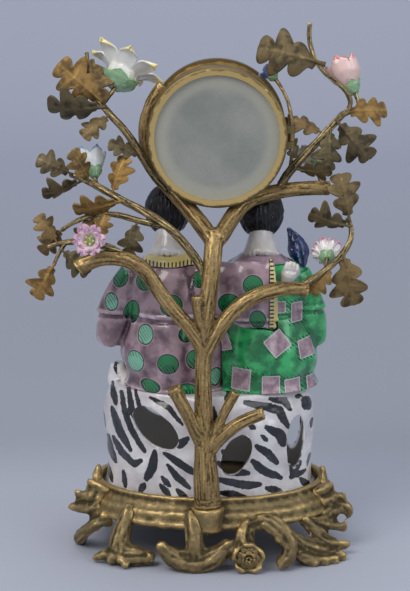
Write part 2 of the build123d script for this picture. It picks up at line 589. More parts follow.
def make_rear_rose():
    """The rose on its stem, facing back, and the C scroll beside it."""
    y = -(EDGE_HALF_DEPTH + ROSE_OFFSET / 2)
    rose = Plane(origin=(ROSE_X, y, ROSE_HEIGHT), z_dir=(0, -1, 0)) * make_blossom(
        ROSE_RADIUS, ROSE_DEPTH, WHITE_PETALS, 1,
    )
    top = BASE_UNDERSIDE + (COLLAR_TOP - BASE_UNDERSIDE) / 3
    stem = limb(
        [(ROSE_X, -(EDGE_HALF_DEPTH - EDGE_PROJECTION / 2), top),
            (ROSE_X, y + ROSE_OFFSET / 2, (top + ROSE_HEIGHT) / 2),
         (ROSE_X, y, ROSE_HEIGHT)],
        ROSE_STEM_RADIUS, (1, 1, 1),
    )
    scroll = limb(
        [
            (ROSE_X + out * C_SCROLL_WIDTH, -(EDGE_HALF_DEPTH - EDGE_PROJECTION + along * EDGE_PROJECTION),
             up * COLLAR_TOP)
            for out, along, up in C_SCROLL_SHARES
        ],
        C_SCROLL_RADIUS, C_SCROLL_RADIUS_SHARES,
    )
    stem = stem.fuse(*make_lobes(ROSE_LEAF_LOBES))
    scroll = scroll.fuse(*make_lobes(C_LEAF_LOBES))
    return above_table(rose), above_table(solid_of(stem.cut(rose))), above_table(carved(scroll, stem, rose))


def make_rock_bolt():
    """The long bolt that draws the rock down on the base floor."""
    low = FLOOR_TOP - FLOOR_THICKNESS - NUT_HEIGHT - STUD_RADIUS
    high = ROCK_TOP - ROCK_WALL / 2
    return Pos(0, 0, (low + high) / 2) * Cylinder(ROCK_BOLT_RADIUS, high - low)


def make_nuts():
    """Hexagon nuts under the base: one on the tree's stud and one on the rock's bolt."""
    nuts = []
    for x, y, top in ((TRUNK_X, -TRUNK_SETBACK, NUT_SOCKET_TOP), (0, 0, FLOOR_TOP - FLOOR_THICKNESS)):
        hexagon = RegularPolygon(NUT_ACROSS_FLATS / 2, HEX_SIDES, major_radius=False) - Circle(STUD_RADIUS)
        nuts.append(extrude(Pos(x, y, top - NUT_HEIGHT) * hexagon, NUT_HEIGHT))
    return nuts


# Porcelain rock and figures.
def rock_sections(shrink, top):
    rise = top - FLOOR_TOP
    return [
        Pos(0, 0, FLOOR_TOP + up * rise)
        * Ellipse(ROCK_HALF_WIDTH * wide - shrink, ROCK_HALF_DEPTH * deep - shrink)
        for up, wide, deep in ROCK_SHARES
    ]


def make_rock():
    rise = ROCK_TOP - FLOOR_TOP
    outer = loft(rock_sections(0, ROCK_TOP))
    spur = limb(
        [(x * ROCK_HALF_WIDTH, y * ROCK_HALF_DEPTH, FLOOR_TOP + up * rise) for x, y, up in SPUR_SHARES],
        SPUR_RADIUS, SPUR_RADIUS_SHARES,
    )
    hollow = loft(rock_sections(ROCK_WALL, ROCK_TOP - ROCK_WALL))
    rock = outer.fuse(spur).cut(hollow)
    for x, up, long_half, short_half, tilt in PIERCING_SHARES:
        frame = Plane(
            origin=(x * ROCK_HALF_WIDTH, 2 * ROCK_HALF_DEPTH, FLOOR_TOP + up * rise),
            x_dir=(cos(radians(tilt)), 0, sin(radians(tilt))), z_dir=(0, -1, 0),
        )
        mouth = frame * Ellipse(long_half * ROCK_HALF_WIDTH, short_half * ROCK_HALF_WIDTH)
        rock = rock.cut(extrude(mouth, 4 * ROCK_HALF_DEPTH))
    return solid_of(rock.cut(make_rock_bolt()))


def robe_frame(x):
    """Sizes that places on a robe are shares of, and the middle of its hem."""
    return (ROBE_HALF_WIDTH, ROBE_HALF_DEPTH, ROBE_HEIGHT), (x, ROBE_BACKSET, ROCK_TOP)


def robe_points(shares, x, side):
    """Points on a figure, with their distance to the side drawn in or mirrored by the sleeve's reach."""
    sizes, hem = robe_frame(x)
    return [(hem[0] + side * px, hem[1] + py, hem[2] + pz) for px, py, pz in scaled(shares, sizes)]


def make_robe(x, lean, side):
    """A robe that narrows at the belt and rounds over the shoulders, with its outer sleeve and forearm."""
    body = loft([
        Pos(x + up * lean, ROBE_BACKSET, ROCK_TOP + up * ROBE_HEIGHT)
        * Ellipse(wide * ROBE_HALF_WIDTH, deep * ROBE_HALF_DEPTH)
        for up, wide, deep in ROBE_SHARES
    ])
    sleeve = limb(robe_points(SLEEVE_DROP_SHARES, x, side), SLEEVE_RADIUS, SLEEVE_DROP_RADIUS_SHARES)
    forearm = limb(robe_points(FOREARM_SHARES, x, side), SLEEVE_RADIUS, FOREARM_RADIUS_SHARES)
    return body.fuse(sleeve, forearm)


def make_drape():
    """The sleeve that the left figure lays across the other's back."""
    return limb(
        robe_points(DRAPE_SHARES, LEFT_ROBE_X, 1), DRAPE_HALF_HEIGHT, DRAPE_RADIUS_SHARES,
            DRAPE_THICKNESS_SHARE,
    )


def head_centre(x, lean, rise):
    return (x + lean, HEAD_FORWARD, ROCK_TOP + ROBE_HEIGHT + rise)


def make_head(x, lean, rise):
    """A head and neck turned as one, standing on the robe's collar."""
    centre = head_centre(x, lean, rise)
    skull = scale(Sphere(HEAD_RADIUS), by=(1, 1, HEAD_HALF_HEIGHT / HEAD_RADIUS))
    neck_foot = (x + lean, ROBE_BACKSET, ROCK_TOP + ROBE_HEIGHT)
    neck = limb(
        [neck_foot, (x + lean, (ROBE_BACKSET + HEAD_FORWARD) / 2, neck_foot[2] + rise / 2), centre],
        NECK_RADIUS, (1, 0.9, 0.9),
    )
    floor = Pos(x + lean, 0, neck_foot[2] - OVERRUN) * Box(4 * HEAD_RADIUS, 8 * HEAD_RADIUS, 2 * OVERRUN)
    return (Pos(*centre) * skull).fuse(neck).cut(floor)


def make_hair(x, lean, rise, head):
    """A cap of hair over the crown and nape, cut square below and open at the face."""
    centre = Vector(*head_centre(x, lean, rise))
    outer = HEAD_RADIUS + HAIR_THICKNESS
    cap = Pos(*centre) * scale(Sphere(outer), by=(1, 1, (HEAD_HALF_HEIGHT + HAIR_THICKNESS) / outer))
    wide = 4 * outer
    below = centre + Vector(0, 0, -NAPE_DROP_SHARE * HEAD_HALF_HEIGHT - wide / 2)
    face = centre + Vector(
        0, HAIRLINE_FORWARD_SHARE * HEAD_RADIUS + wide / 2,
            HAIRLINE_RISE_SHARE * HEAD_HALF_HEIGHT - wide / 2,
    )
    return solid_of(carved(cap, head, Pos(*below) * Box(wide, wide, wide),
        Pos(*face) * Box(wide, wide, wide)))


def make_hands():
    """Three hands: one on the other figure's shoulder and one at the end of each forearm."""
    hands = []
    for x, side, place, heading in (
        (RIGHT_ROBE_X, 1, SHOULDER_HAND_SHARE, (0.3, -0.3, 1)),
        (LEFT_ROBE_X, LEFT_SLEEVE_REACH, FOREARM_SHARES[-1], (0.8, 0.4, 0.35)),
        (RIGHT_ROBE_X, RIGHT_SLEEVE_REACH, FOREARM_SHARES[-1], (-0.5, 0.3, 0.6)),
    ):
        point = robe_points((place,), x, side)[0]
        aim = Vector(*heading).normalized() * HAND_RADIUS
        start = Vector(*point) - aim * HAND_LENGTH_SHARE
        end = Vector(*point) + aim * HAND_LENGTH_SHARE
        hands.append(limb([start, Vector(*point), end], HAND_RADIUS, HAND_RADIUS_SHARES))
    return hands


# Tree, branches, leaves and flowers.
def make_tree(case_blank, platform):
    """Trunk, sawn stubs and arms cast in one, saddled to the clock case, with a stud under its foot."""
    limbs = [limb(scaled(TRUNK_SHARES, TREE_FRAME), TRUNK_RADIUS, TRUNK_RADIUS_SHARES)]
    limbs.append(limb(scaled(LEFT_ARM_SHARES, TREE_FRAME), ARM_RADIUS, LEFT_ARM_RADIUS_SHARES))
    limbs.append(limb(scaled(RIGHT_ARM_SHARES, TREE_FRAME), ARM_RADIUS, RIGHT_ARM_RADIUS_SHARES))
    embrace = CASE_RADIUS + FORK_EMBRACE_SHARE * ARM_RADIUS - FORK_BITE
    around = []
    for angle in LEFT_FORK_ANGLES:
        u, v = polar(embrace, angle)
        around.append((DRUM_X + u, FORK_DEPTH, DRUM_HEIGHT + v))
    limbs.append(limb(scaled(LEFT_FORK_SHARES, TREE_FRAME) + around, ARM_RADIUS, LEFT_FORK_RADIUS_SHARES))
    limbs.append(limb(scaled(RIGHT_FORK_SHARES, TREE_FRAME), ARM_RADIUS, RIGHT_FORK_RADIUS_SHARES))
    for route, radius_shares in STUB_SHARES:
        limbs.append(limb(scaled(route, TREE_FRAME), STUB_RADIUS, radius_shares))
    under_foot = Pos(TRUNK_X, -TRUNK_SETBACK, PAD_TOP - PAD_RADIUS) * Box(
        4 * PAD_RADIUS, 4 * PAD_RADIUS, 2 * PAD_RADIUS,
    )
    stud = Pos(TRUNK_X, -TRUNK_SETBACK, PAD_TOP - STUD_LENGTH / 2 + STUD_RADIUS) * Cylinder(
        STUD_RADIUS, STUD_LENGTH + 2 * STUD_RADIUS,
    )
    tree = carved(fused(limbs), under_foot, platform, case_blank, *make_case_screws())
    return solid_of(tree.fuse(stud))


def make_branch(limbs, carrier):
    """A thin branch and its twigs brazed into one piece, seated on the limb that carries it."""
    pieces = [limb(scaled(route, TREE_FRAME), BRANCH_RADIUS, shares) for route, shares in limbs]
    return solid_of(fused(pieces).cut(carrier))


def make_leaf_blank():
    """A lobed leaf along +X on its stalk, bent over a round former."""
    half = [(share * LEAF_LENGTH, wide * LEAF_HALF_WIDTH) for share, wide in LEAF_OUTLINE_SHARES]
    upper = Spline(*half)
    lower = Spline(*[(x, -y) for x, y in half])
    heel = Line(half[0], (half[0][0], -half[0][1]))
    drop = LEAF_LENGTH / 2
    prism = extrude(Pos(0, 0, -drop) * make_face([upper, lower, heel]), drop + LEAF_THICKNESS)
    centre = Pos(LEAF_LENGTH / 3, 0, -LEAF_BEND_RADIUS) * Rot(90, 0, 0)
    former = centre * Cylinder(LEAF_BEND_RADIUS + LEAF_THICKNESS / 2, 4 * LEAF_HALF_WIDTH)
    inside = centre * Cylinder(LEAF_BEND_RADIUS - LEAF_THICKNESS / 2, 4 * LEAF_HALF_WIDTH)
    blade = solid_of(prism.intersect(former.cut(inside)))
    heel_drop = LEAF_BEND_RADIUS - sqrt(LEAF_BEND_RADIUS**2 - (LEAF_LENGTH / 3) ** 2)
    stalk_length = 2 * LEAF_STALK_SHARE * LEAF_LENGTH
    stalk = Pos(0, 0, -heel_drop) * Rot(0, 90, 0) * Cylinder(LEAF_STALK_RADIUS, stalk_length)
    return Pos(stalk_length / 2, 0, heel_drop) * blade.fuse(stalk)


def make_leaves(blank, limbs, table, branch):
    """Copies of the leaf set along a branch and cut to its surface."""
    leaves = []
    for limb_index, share, heading, facing, size_share in table:
        line = Spline(*scaled(limbs[limb_index][0], TREE_FRAME))
        frame = Plane(origin=line @ share, x_dir=heading,
            z_dir=Vector(*heading).cross(Vector(*facing)).cross(Vector(*heading)))
        leaf = frame.location * scale(blank, by=size_share)
        leaves.append(solid_of(leaf.cut(branch)))
    return leaves


def make_blossom(mouth, height, petals, close_share):
    """A porcelain cup of petals on a calyx, along +Z from its flat seat, scalloped at the rim."""
    calyx = CALYX_SHARE * mouth
    seat = calyx / 2
    outer = Spline((seat, 0), (calyx, height / 4), (calyx * (1 + close_share), height / 2), (mouth, height))
    rim = Line((mouth, height), (mouth - PETAL_THICKNESS, height))
    inner = Spline(
        (mouth - PETAL_THICKNESS, height),
        (calyx * (1 + close_share) - PETAL_THICKNESS, height / 2 + PETAL_THICKNESS / 2),
        (0, height / 3),
    )
    axis_line = Line((0, height / 3), (0, 0))
    bottom = Line((0, 0), (seat, 0))
    profile = Plane.XZ * make_face([outer, rim, inner, axis_line, bottom])
    cup = revolve(profile, Axis.Z)
    notch = mouth * sin(pi / petals) / 2
    for k in range(petals):
        turn = 360 * k / petals
        cutter = Rot(0, 0, turn) * Pos(mouth, 0, height) * Rot(0, 90, 0) * Cylinder(notch, mouth)
        cup = cup.cut(cutter)
    return solid_of(cup)


def make_flower(limbs, limb_index, mouth, height, petals, close_share):
    """A blossom seated square on the end of its twig."""
    route = scaled(limbs[limb_index][0], TREE_FRAME)
    line = Spline(*route)
    frame = Plane(origin=line @ 1, z_dir=line % 1)
    return frame.location * make_blossom(mouth, height, petals, close_share)


# Clock case, doors and hinges.
def make_case():
    """The drum with an inner ledge for the movement and a hinge knuckle for each door."""
    shell = rod(CASE_RADIUS, CASE_REAR, CASE_FRONT).cut(
        rod(CASE_RADIUS - CASE_WALL, CASE_REAR - OVERRUN, CASE_FRONT + OVERRUN),
    )
    inner = CASE_RADIUS - CASE_WALL
    ledge = rod(inner + CASE_WALL / 2, FRONT_PLATE_BACK - LEDGE_THICKNESS, FRONT_PLATE_BACK).cut(
        rod(inner - LEDGE_WIDTH, FRONT_PLATE_BACK - 2 * LEDGE_THICKNESS,
            FRONT_PLATE_BACK + LEDGE_THICKNESS),
    )
    case = shell.fuse(ledge)
    for y, side in ((CASE_REAR, 1), (CASE_FRONT, -1)):
        case = case.fuse(make_knuckle(y, side, CASE_RADIUS - CASE_WALL / 2, 0))
    for angle, depth in zip(CASE_SCREW_ANGLES, CASE_SCREW_DEPTHS):
        case = case.cut(case_screw_shank(angle, depth, SEAT_GAP))
    return carved(case, *[rod_vertical(y, HINGE_PIN_RADIUS) for y in (CASE_REAR, CASE_FRONT)])


def rod_vertical(y, radius):
    """A bar the length of a whole hinge, upright on its axis."""
    return Pos(HINGE_X, y, DRUM_HEIGHT) * Cylinder(radius, 4 * HINGE_KNUCKLE_LENGTH)


def make_knuckle(y, side, reach_from, level):
    """One barrel of a hinge with the tab that ties it to its leaf, on the side of the seam it belongs to."""
    z = DRUM_HEIGHT + level * (HINGE_KNUCKLE_LENGTH + SEAT_GAP)
    barrel = Pos(HINGE_X, y, z) * Cylinder(HINGE_KNUCKLE_RADIUS, HINGE_KNUCKLE_LENGTH)
    reach = HINGE_X - DRUM_X - reach_from
    tab_y = y + side * (HINGE_TAB_THICKNESS / 2 + SEAT_GAP)
    tab = Pos(HINGE_X - reach / 2, tab_y, z) * Box(reach, HINGE_TAB_THICKNESS, HINGE_KNUCKLE_LENGTH)
    return barrel.fuse(tab)


def make_bezel(seam, side, radius, depth):
    """A rounded door ring that opens from the seam: side -1 is the rear door, 1 the front one."""
    low, high = sorted((seam + side * SEAT_GAP, seam + side * depth))
    ring = rod(radius, low, high)
    outer_edges = [edge for edge in ring.edges() if abs(edge.center().Y - (seam + side * depth)) < SEAT_GAP]
    ring = fillet(outer_edges, BEZEL_ROUND)
    lip_y = seam + side * (depth - BEZEL_LIP)
    sight = rod(BEZEL_SIGHT_RADIUS, low - OVERRUN, high + OVERRUN)
    rebate_low, rebate_high = sorted((lip_y, seam - side * OVERRUN))
    ring = carved(ring, sight, rod(BEZEL_SIGHT_RADIUS + GLASS_REBATE, rebate_low, rebate_high))
    for level in (-1, 1):
        knuckle = make_knuckle(seam, side, BEZEL_SIGHT_RADIUS + GLASS_REBATE, level)
        ring = ring.fuse(knuckle)
    clear = rod(BEZEL_SIGHT_RADIUS + GLASS_REBATE, rebate_low, rebate_high)
    return carved(ring, rod_vertical(seam, HINGE_PIN_RADIUS + RUNNING_GAP), clear)


def make_glass(seam, side, depth):
    """A flat glass that lies in the rebate of its bezel."""
    lip_y = seam + side * (depth - BEZEL_LIP)
    low, high = sorted((lip_y, lip_y - side * GLASS_THICKNESS))
    return rod(BEZEL_SIGHT_RADIUS + GLASS_REBATE - RUNNING_GAP, low, high)


def case_screw_shank(angle, depth, gap):
    """The bar of a screw that runs out from inside the case into an arm of the tree."""
    u, v = polar(CASE_RADIUS - CASE_WALL + CASE_SCREW_LENGTH / 2, angle)
    turned = Rot(0, -angle, 0) * Rot(0, 90, 0)
    return Pos(DRUM_X + u, depth, DRUM_HEIGHT + v) * turned * Cylinder(CASE_SCREW_RADIUS + gap,
        CASE_SCREW_LENGTH)


def make_case_screws():
    """Screws from inside the case into the two arms of the fork, with square-cut round heads."""
    screws = []
    inner = CASE_RADIUS - CASE_WALL
    sagitta = inner - sqrt(inner**2 - CASE_SCREW_HEAD_RADIUS**2)
    for angle, depth in zip(CASE_SCREW_ANGLES, CASE_SCREW_DEPTHS):
        u, v = polar(inner - sagitta - RUNNING_GAP - CASE_SCREW_HEAD_HEIGHT / 2, angle)
        turned = Rot(0, -angle, 0) * Rot(0, 90, 0)
        head = Pos(DRUM_X + u, depth, DRUM_HEIGHT + v) * turned * Cylinder(CASE_SCREW_HEAD_RADIUS,
            CASE_SCREW_HEAD_HEIGHT)
        neck_u, neck_v = polar(inner - sagitta / 2, angle)
        neck = Pos(DRUM_X + neck_u, depth, DRUM_HEIGHT + neck_v) * turned * Cylinder(CASE_SCREW_RADIUS,
            CASE_SCREW_HEAD_HEIGHT)
        screws.append(fused([head, neck, case_screw_shank(angle, depth, 0)]))
    return screws


# Going train and motion work.
def toothed(teeth, module, y, thickness, u, v, phase):
    """A wheel or pinion blank with straight-sided teeth, one of them centred on the phase angle."""
    pitch_radius = teeth * module / 2
    tip = pitch_radius + ADDENDUM_SHARE * module
    root = pitch_radius - DEDENDUM_SHARE * module
    corners = []
    for k in range(teeth):
        for radius, aside in (
            (root, -TOOTH_ROOT_SHARE), (tip, -TOOTH_TIP_SHARE), (tip, TOOTH_TIP_SHARE),
                (root, TOOTH_ROOT_SHARE),
        ):
            corners.append(polar(radius, phase + 360 * (k + aside) / teeth))
    outline = clock_plane(y + thickness, u, v) * make_face(Polyline(*corners, close=True))
    return extrude(outline, thickness)


def mesh_phase(teeth, angle):
    """Phase of a wheel whose gap, not tooth, faces an angle."""
    return angle + 180 / teeth


def pair_distance(module, teeth_a, teeth_b):
    return module * (teeth_a + teeth_b) / 2


def arbor(u, v):
    """A plain arbor with a pivot in each plate."""
    inner_rear = FRONT_PLATE_BACK - PLATE_GAP
    staff = rod(ARBOR_RADIUS, inner_rear + SEAT_GAP, FRONT_PLATE_BACK - SEAT_GAP, u, v)
    pivots = rod(PIVOT_RADIUS, inner_rear - PLATE_THICKNESS, FRONT_PLATE_BACK + PLATE_THICKNESS, u, v)
    return staff.fuse(pivots)


CENTRE_DISTANCE = pair_distance(SECOND_MODULE, SECOND_TEETH, CENTRE_LEAVES)
SECOND_DISTANCE = pair_distance(BARREL_MODULE, BARREL_TEETH, SECOND_LEAVES)
THIRD_DISTANCE = pair_distance(CENTRE_MODULE, CENTRE_TEETH, THIRD_LEAVES)
ESCAPE_DISTANCE = pair_distance(THIRD_MODULE, THIRD_TEETH, ESCAPE_LEAVES)
MOTION_DISTANCE = pair_distance(CANNON_MODULE, CANNON_LEAVES, MINUTE_TEETH)


def triangle_angle(near, far, across):
    """Angle at the corner between sides near and far, opposite the side across."""
    return degrees(atan2(
        sqrt(4 * near**2 * far**2 - (near**2 + far**2 - across**2) ** 2), near**2 + far**2 - across**2,
    ))


BARREL_AT = polar(BARREL_DISTANCE, BARREL_ANGLE)
SECOND_AT = polar(CENTRE_DISTANCE, BARREL_ANGLE - triangle_angle(CENTRE_DISTANCE, BARREL_DISTANCE,
    SECOND_DISTANCE))
THIRD_AT = polar(THIRD_DISTANCE, THIRD_ANGLE)
ESCAPE_AT = tuple(a + b for a, b in zip(THIRD_AT, polar(ESCAPE_DISTANCE, ESCAPE_ANGLE)))
MINUTE_WHEEL_AT = polar(MOTION_DISTANCE, MINUTE_WHEEL_ANGLE)
PALLET_AT = tuple(a + b for a, b in zip(ESCAPE_AT, polar(PALLET_DROP, PALLET_ANGLE)))
REAR_PLATE_FRONT = FRONT_PLATE_BACK - PLATE_GAP
REAR_PLATE_REAR = REAR_PLATE_FRONT - PLATE_THICKNESS
FRONT_PLATE_FRONT = FRONT_PLATE_BACK + PLATE_THICKNESS


def bearing(a, b):
    """Angle from one place to another, seen from behind."""
    return degrees(atan2(b[1] - a[1], b[0] - a[0]))


def make_going_barrel():
    """Spring barrel with its great wheel, free on the winding arbor."""
    wheel = toothed(
        BARREL_TEETH, BARREL_MODULE, BARREL_REAR, WHEEL_THICKNESS, *BARREL_AT,
            bearing(BARREL_AT, SECOND_AT),
    )
    drum_radius = BARREL_TEETH * BARREL_MODULE / 2 - 3 * BARREL_MODULE
    drum = rod(drum_radius, BARREL_REAR, BARREL_REAR + WHEEL_THICKNESS + BARREL_DRUM_LENGTH, *BARREL_AT)
    bore = rod(WINDING_ARBOR_RADIUS + RUNNING_GAP, REAR_PLATE_REAR, FRONT_PLATE_FRONT, *BARREL_AT)
    room = rod(
        BARREL_ROOM_RADIUS, BARREL_REAR + WHEEL_THICKNESS, BARREL_REAR + BARREL_DRUM_LENGTH, *BARREL_AT,
    )
    return carved(wheel.fuse(drum), bore, room)


def make_mainspring():
    """The coiled spring inside the barrel."""
    low = BARREL_REAR + WHEEL_THICKNESS + RUNNING_GAP
    height = BARREL_DRUM_LENGTH - WHEEL_THICKNESS - 2 * RUNNING_GAP
    return spiral_strip(
        WINDING_ARBOR_RADIUS + SEAT_GAP, BARREL_ROOM_RADIUS, SPRING_TURNS, SPRING_STRIP, low, height,
            *BARREL_AT,
    )


def make_winding_arbor():
    """Barrel arbor with its ratchet under the dial and a square that the key turns."""
    body = rod(WINDING_ARBOR_RADIUS, REAR_PLATE_FRONT + SEAT_GAP, DIAL_REAR + DIAL_THICKNESS, *BARREL_AT)
    tail = rod(PIVOT_RADIUS + ARBOR_RADIUS, REAR_PLATE_REAR, REAR_PLATE_FRONT + 2 * SEAT_GAP, *BARREL_AT)
    corners = []
    for k in range(RATCHET_TEETH):
        corners.append(polar(RATCHET_RADIUS, 360 * k / RATCHET_TEETH))
        corners.append(polar(RATCHET_RADIUS * RATCHET_TOOTH_SHARE,
            360 * (k + TOOTH_TIP_SHARE) / RATCHET_TEETH))
    ratchet_rear = FRONT_PLATE_FRONT + SEAT_GAP
    outline = clock_plane(ratchet_rear + WHEEL_THICKNESS, *BARREL_AT) * make_face(Polyline(*corners,
        close=True))
    ratchet = extrude(outline, WHEEL_THICKNESS)
    square_front = DIAL_REAR + DIAL_THICKNESS + DIAL_CROWN
    square = extrude(clock_plane(square_front, *BARREL_AT) * Rectangle(WINDING_SQUARE, WINDING_SQUARE),
                     square_front - FRONT_PLATE_FRONT)
    return body.fuse(tail, ratchet, square)


def make_click():
    """The click that rides on the ratchet, held by its shoulder screw on the front plate."""
    at = (BARREL_AT[0] - RATCHET_RADIUS - HAND_WIDTH, BARREL_AT[1] + RATCHET_RADIUS)
    rear = FRONT_PLATE_FRONT
    post = rod(ARBOR_RADIUS, rear, rear + 2 * WHEEL_THICKNESS, *at)
    tip = (BARREL_AT[0] - RATCHET_RADIUS * cos(radians(45)) - SEAT_GAP,
        BARREL_AT[1] + RATCHET_RADIUS * sin(radians(45)) + SEAT_GAP)
    finger = Polyline(
        (at[0] - ARBOR_RADIUS, at[1] - ARBOR_RADIUS), tip, (at[0] + ARBOR_RADIUS,
            at[1] + 2 * ARBOR_RADIUS), close=True,
    )
    blade = extrude(
        Plane(origin=(DRUM_X, rear + SEAT_GAP + WHEEL_THICKNESS, DRUM_HEIGHT), x_dir=(1, 0, 0),
            z_dir=(0, -1, 0))
        * make_face(finger), WHEEL_THICKNESS,
    )
    return post.fuse(blade)


def make_second_wheel():
    wheel = toothed(
        SECOND_TEETH, SECOND_MODULE, SECOND_WHEEL_REAR, WHEEL_THICKNESS, *SECOND_AT,
            bearing(SECOND_AT, (0, 0)),
    )
    pinion = toothed(
        SECOND_LEAVES, BARREL_MODULE, BARREL_REAR - (PINION_LENGTH - WHEEL_THICKNESS) / 2, PINION_LENGTH,
            *SECOND_AT,
        mesh_phase(SECOND_LEAVES, bearing(SECOND_AT, BARREL_AT)),
    )
    return arbor(*SECOND_AT).fuse(wheel, pinion)


def make_centre_wheel():
    """Centre arbor that runs out through the front plate to carry the cannon pinion and minute hand."""
    wheel = toothed(CENTRE_TEETH, CENTRE_MODULE, CENTRE_WHEEL_REAR, WHEEL_THICKNESS, 0, 0,
        bearing((0, 0), THIRD_AT))
    pinion = toothed(
        CENTRE_LEAVES, SECOND_MODULE, SECOND_WHEEL_REAR - (PINION_LENGTH - WHEEL_THICKNESS) / 2,
            PINION_LENGTH, 0, 0,
        mesh_phase(CENTRE_LEAVES, bearing((0, 0), SECOND_AT)),
    )
    staff = rod(ARBOR_RADIUS, REAR_PLATE_FRONT + SEAT_GAP, MINUTE_HAND_REAR + HAND_THICKNESS)
    tail = rod(PIVOT_RADIUS, REAR_PLATE_REAR, REAR_PLATE_FRONT + 2 * SEAT_GAP)
    return staff.fuse(tail, wheel, pinion)


def make_third_wheel():
    wheel = toothed(
        THIRD_TEETH, THIRD_MODULE, THIRD_WHEEL_REAR, WHEEL_THICKNESS, *THIRD_AT,
            bearing(THIRD_AT, ESCAPE_AT),
    )
    pinion = toothed(
        THIRD_LEAVES, CENTRE_MODULE, CENTRE_WHEEL_REAR - SEAT_GAP, WHEEL_THICKNESS + 2 * SEAT_GAP,
            *THIRD_AT,
        mesh_phase(THIRD_LEAVES, bearing(THIRD_AT, (0, 0))),
    )
    return arbor(*THIRD_AT).fuse(wheel, pinion)


def make_escape_wheel():
    pinion = toothed(
        ESCAPE_LEAVES, THIRD_MODULE, THIRD_WHEEL_REAR - (PINION_LENGTH - WHEEL_THICKNESS) / 2,
            PINION_LENGTH, *ESCAPE_AT,
        mesh_phase(ESCAPE_LEAVES, bearing(ESCAPE_AT, THIRD_AT)),
    )
    corners = []
    for k in range(ESCAPE_TEETH):
        corners.append(polar(ESCAPE_RADIUS, 360 * k / ESCAPE_TEETH))
        corners.append(polar(ESCAPE_RADIUS * RATCHET_TOOTH_SHARE,
            360 * (k + TOOTH_ROOT_SHARE) / ESCAPE_TEETH))
    outline = clock_plane(ESCAPE_WHEEL_REAR + WHEEL_THICKNESS,
        *ESCAPE_AT) * make_face(Polyline(*corners, close=True))
    return arbor(*ESCAPE_AT).fuse(extrude(outline, WHEEL_THICKNESS), pinion)


def make_pallets():
    """The anchor that straddles the escape wheel, shown clear of the teeth."""
    reach = ESCAPE_RADIUS + PALLET_CLEARANCE
    aim = bearing(PALLET_AT, ESCAPE_AT)
    frame = Plane(
        origin=(DRUM_X + PALLET_AT[0], ESCAPE_WHEEL_REAR + WHEEL_THICKNESS, DRUM_HEIGHT + PALLET_AT[1]),
        x_dir=(cos(radians(aim)), 0, sin(radians(aim))), z_dir=(0, -1, 0),
    )
    hoop = Circle(reach + PALLET_ARM_WIDTH) - Circle(reach)
    wheel_side = Pos(PALLET_DROP, 0) * hoop
    keep = Pos(PALLET_DROP - reach, 0) * Rectangle(2 * reach, 2 * (reach + PALLET_ARM_WIDTH))
    anchor = wheel_side & keep
    bar = Pos((PALLET_DROP - reach) / 2, 0) * Rectangle(PALLET_DROP - reach, PALLET_ARM_WIDTH)
    boss = Circle(PALLET_ARM_WIDTH)
    blade = extrude(frame * (anchor + bar + boss), WHEEL_THICKNESS)
    return arbor(*PALLET_AT).fuse(blade)


def make_plates():
    """Front and rear plates with a hole for each pivot."""
    front = rod(PLATE_RADIUS, FRONT_PLATE_BACK, FRONT_PLATE_FRONT)
    rear = rod(PLATE_RADIUS - LEDGE_WIDTH / 2, REAR_PLATE_REAR, REAR_PLATE_FRONT)
    for at in (SECOND_AT, THIRD_AT, ESCAPE_AT, PALLET_AT):
        hole = rod(PIVOT_RADIUS + RUNNING_GAP, REAR_PLATE_REAR - OVERRUN, FRONT_PLATE_FRONT + OVERRUN, *at)
        front = front.cut(hole)
        rear = rear.cut(hole)
    front = carved(
        front,
        rod(ARBOR_RADIUS + RUNNING_GAP, FRONT_PLATE_BACK - OVERRUN, FRONT_PLATE_FRONT + OVERRUN),
        rod(WINDING_ARBOR_RADIUS + RUNNING_GAP, FRONT_PLATE_BACK - OVERRUN, FRONT_PLATE_FRONT + OVERRUN,
            *BARREL_AT),
    )
    rear = carved(
        rear,
        rod(PIVOT_RADIUS + RUNNING_GAP, REAR_PLATE_REAR - OVERRUN, REAR_PLATE_FRONT + OVERRUN),
        rod(PIVOT_RADIUS + ARBOR_RADIUS + RUNNING_GAP, REAR_PLATE_REAR - OVERRUN,
            REAR_PLATE_FRONT + OVERRUN, *BARREL_AT),
        rod(PIVOT_RADIUS + RUNNING_GAP, REAR_PLATE_REAR - OVERRUN, REAR_PLATE_FRONT + OVERRUN, BALANCE_U,
            BALANCE_V),
    )
    return front, rear


def make_pillars():
    pillars = []
    for k in range(PILLAR_COUNT):
        at = polar(PILLAR_CIRCLE_RADIUS, 360 * (k + 0.5) / PILLAR_COUNT)
        pillars.append(rod(PILLAR_RADIUS, REAR_PLATE_FRONT, FRONT_PLATE_BACK, *at))
    return pillars


def make_balance():
    """Balance wheel with its rim, crossing and staff, behind the rear plate."""
    at = (BALANCE_U, BALANCE_V)
    low = REAR_PLATE_REAR - BALANCE_STANDOFF
    rim = rod(BALANCE_RADIUS, low, low + BALANCE_DEPTH, *at).cut(
        rod(BALANCE_RADIUS - BALANCE_RIM, low - OVERRUN, low + OVERRUN, *at),
    )
    bar = extrude(clock_plane(low + BALANCE_DEPTH, *at) * Rectangle(2 * BALANCE_RADIUS - BALANCE_RIM,
        BALANCE_RIM), BALANCE_DEPTH)
    cock_rear = low - BALANCE_DEPTH - COCK_THICKNESS
    staff = rod(PIVOT_RADIUS, cock_rear, REAR_PLATE_FRONT, *at)
    collar = rod(ARBOR_RADIUS, low - BALANCE_DEPTH + SEAT_GAP, REAR_PLATE_REAR - SEAT_GAP, *at)
    return rim.fuse(bar, staff, collar)


